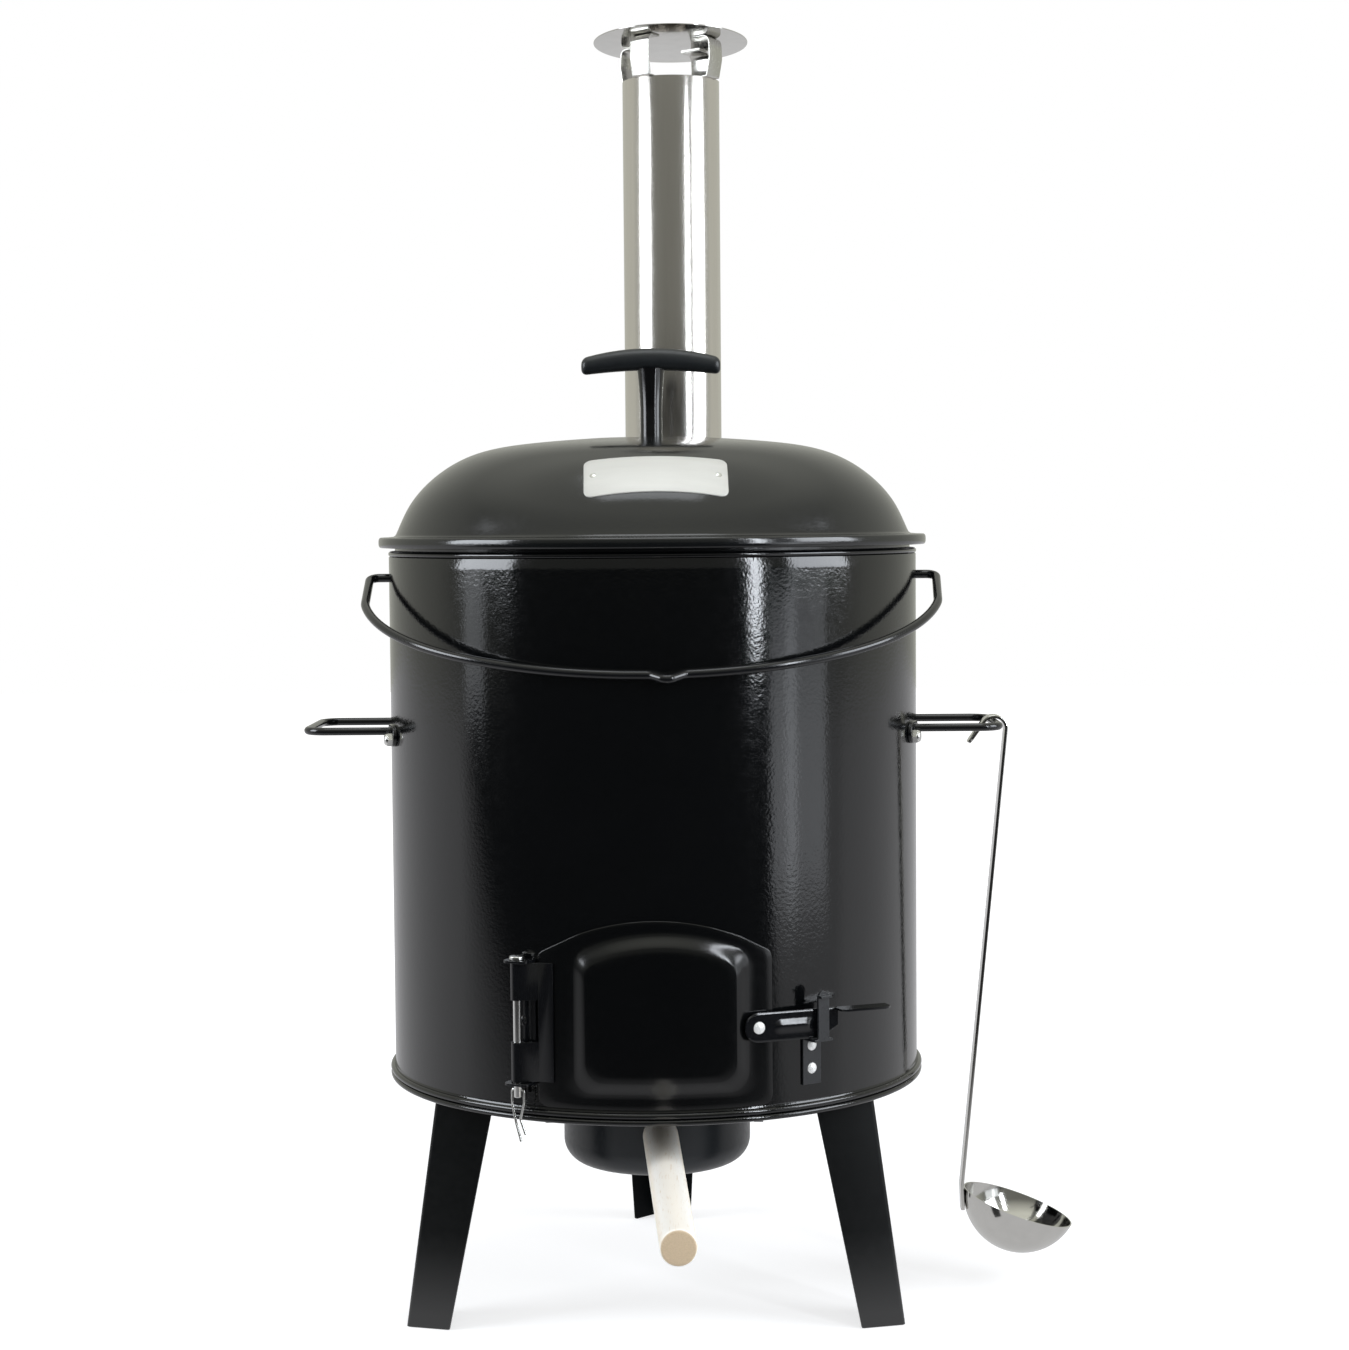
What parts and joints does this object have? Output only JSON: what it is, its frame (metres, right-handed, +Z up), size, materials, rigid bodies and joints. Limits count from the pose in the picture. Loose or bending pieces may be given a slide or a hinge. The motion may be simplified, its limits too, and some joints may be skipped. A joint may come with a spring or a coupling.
{
  "type": "cauldron stove",
  "caption": "Round enamelled wood-fired kettle stove on legs, with hung pot, domed lid, bail, chimney, stoking door, ash pan and ladle.",
  "frame": {"origin": "on the ground, on the upright axis of the round stove", "axes": "+Z up; the stoking door and the ash pan's handle face -Y; +X to the right of someone facing the door"},
  "size_m": [0.5824, 0.6888, 1.0001],
  "materials": {
    "black_enamel": "gloss",
    "black_leg_coat": "satin",
    "black_fittings": "gloss",
    "stainless": "polished",
    "bright_fasteners": "bright",
    "plate_metal": "brushed",
    "grip_plastic": "satin",
    "stem_plastic": "gloss",
    "beech": "turned",
    "grate_iron": "cast"
  },
  "bodies": {
    "mantle": {"stove_shell": "black_enamel", "floor_pan": "black_enamel", "leg_front_left": "black_leg_coat", "leg_front_right": "black_leg_coat", "leg_rear": "black_leg_coat", "leg_bolts": "bright_fasteners", "leg_nuts": "bright_fasteners", "pan_rails": "black_leg_coat", "rail_rivets": "bright_fasteners", "hinge_bracket": "black_fittings", "hinge_rivets": "bright_fasteners", "hinge_pin": "bright_fasteners", "hinge_clip": "bright_fasteners", "latch_catch": "black_fittings", "catch_rivets": "bright_fasteners", "side_handle_left": "black_fittings", "side_handle_right": "black_fittings", "handle_cap_nuts": "bright_fasteners", "handle_bolts": "bright_fasteners", "flue_elbow": "black_fittings", "flue_collar": "black_fittings", "collar_rivets": "bright_fasteners"},
    "stoking_door": {"door_panel": "black_enamel", "hinge_leaf": "black_fittings", "latch_spacer": "black_fittings", "latch_rivet": "bright_fasteners"},
    "latch_arm": {"latch_lever": "black_fittings"},
    "kettle": {"pot": "black_enamel", "pot_lugs": "black_fittings", "lug_rivets": "bright_fasteners"},
    "kettle_lid": {"lid_shell": "black_enamel", "lid_stem": "stem_plastic", "lid_grip": "grip_plastic", "lid_screw": "bright_fasteners", "lid_washer": "bright_fasteners", "lid_plate": "plate_metal", "lid_plate_rivets": "bright_fasteners"},
    "kettle_bail": {"bail": "black_fittings"},
    "chimney": {"chimney_pipe": "stainless"},
    "rain_cap": {"cap_disc": "stainless", "cap_straps": "stainless"},
    "ash_drawer": {"ash_pan": "black_enamel", "pan_handle": "beech", "pan_handle_screw": "bright_fasteners"},
    "hanging_ladle": {"ladle_handle": "stainless", "ladle_bowl": "stainless"},
    "loose_grate": {"fire_grate": "grate_iron"}
  },
  "joints": [
    {"name": "door_swing", "type": "hinge", "parent": "mantle", "child": "stoking_door", "pos_m": [-0.09326, -0.18704, 0.2415], "axis": [0, 0, -1], "range_deg": [0, 110]},
    {"name": "latch_turn", "type": "hinge", "parent": "stoking_door", "child": "latch_arm", "pos_m": [0.07513, -0.19074, 0.2375], "axis": [0.3665, -0.9304, 0], "range_deg": [0, 60]},
    {"name": "kettle_lift", "type": "slide", "parent": "mantle", "child": "kettle", "axis": [0, 0, 1], "range_m": [0, 0.24]},
    {"name": "lid_lift", "type": "slide", "parent": "kettle", "child": "kettle_lid", "axis": [0, 0, 1], "range_m": [0, 0.12]},
    {"name": "bail_swing", "type": "hinge", "parent": "kettle", "child": "kettle_bail", "pos_m": [0, 0, 0.5485], "axis": [-1, 0, 0], "range_deg": [0, 170]},
    {"name": "chimney_lift", "type": "slide", "parent": "mantle", "child": "chimney", "axis": [0, 0, 1], "range_m": [0, 0.06]},
    {"name": "cap_lift", "type": "slide", "parent": "chimney", "child": "rain_cap", "axis": [0, 0, 1], "range_m": [0, 0.03]},
    {"name": "ash_pan_pull", "type": "slide", "parent": "mantle", "child": "ash_drawer", "axis": [0, -1, 0], "range_m": [0, 0.2]},
    {"name": "ladle_swing", "type": "hinge", "parent": "mantle", "child": "hanging_ladle", "pos_m": [0.26, 0, 0.435], "axis": [0, -1, 0], "range_deg": [-8, 40]},
    {"name": "grate_lift", "type": "slide", "parent": "mantle", "child": "loose_grate", "axis": [0, 0, 1], "range_m": [0, 0.12]}
  ]
}
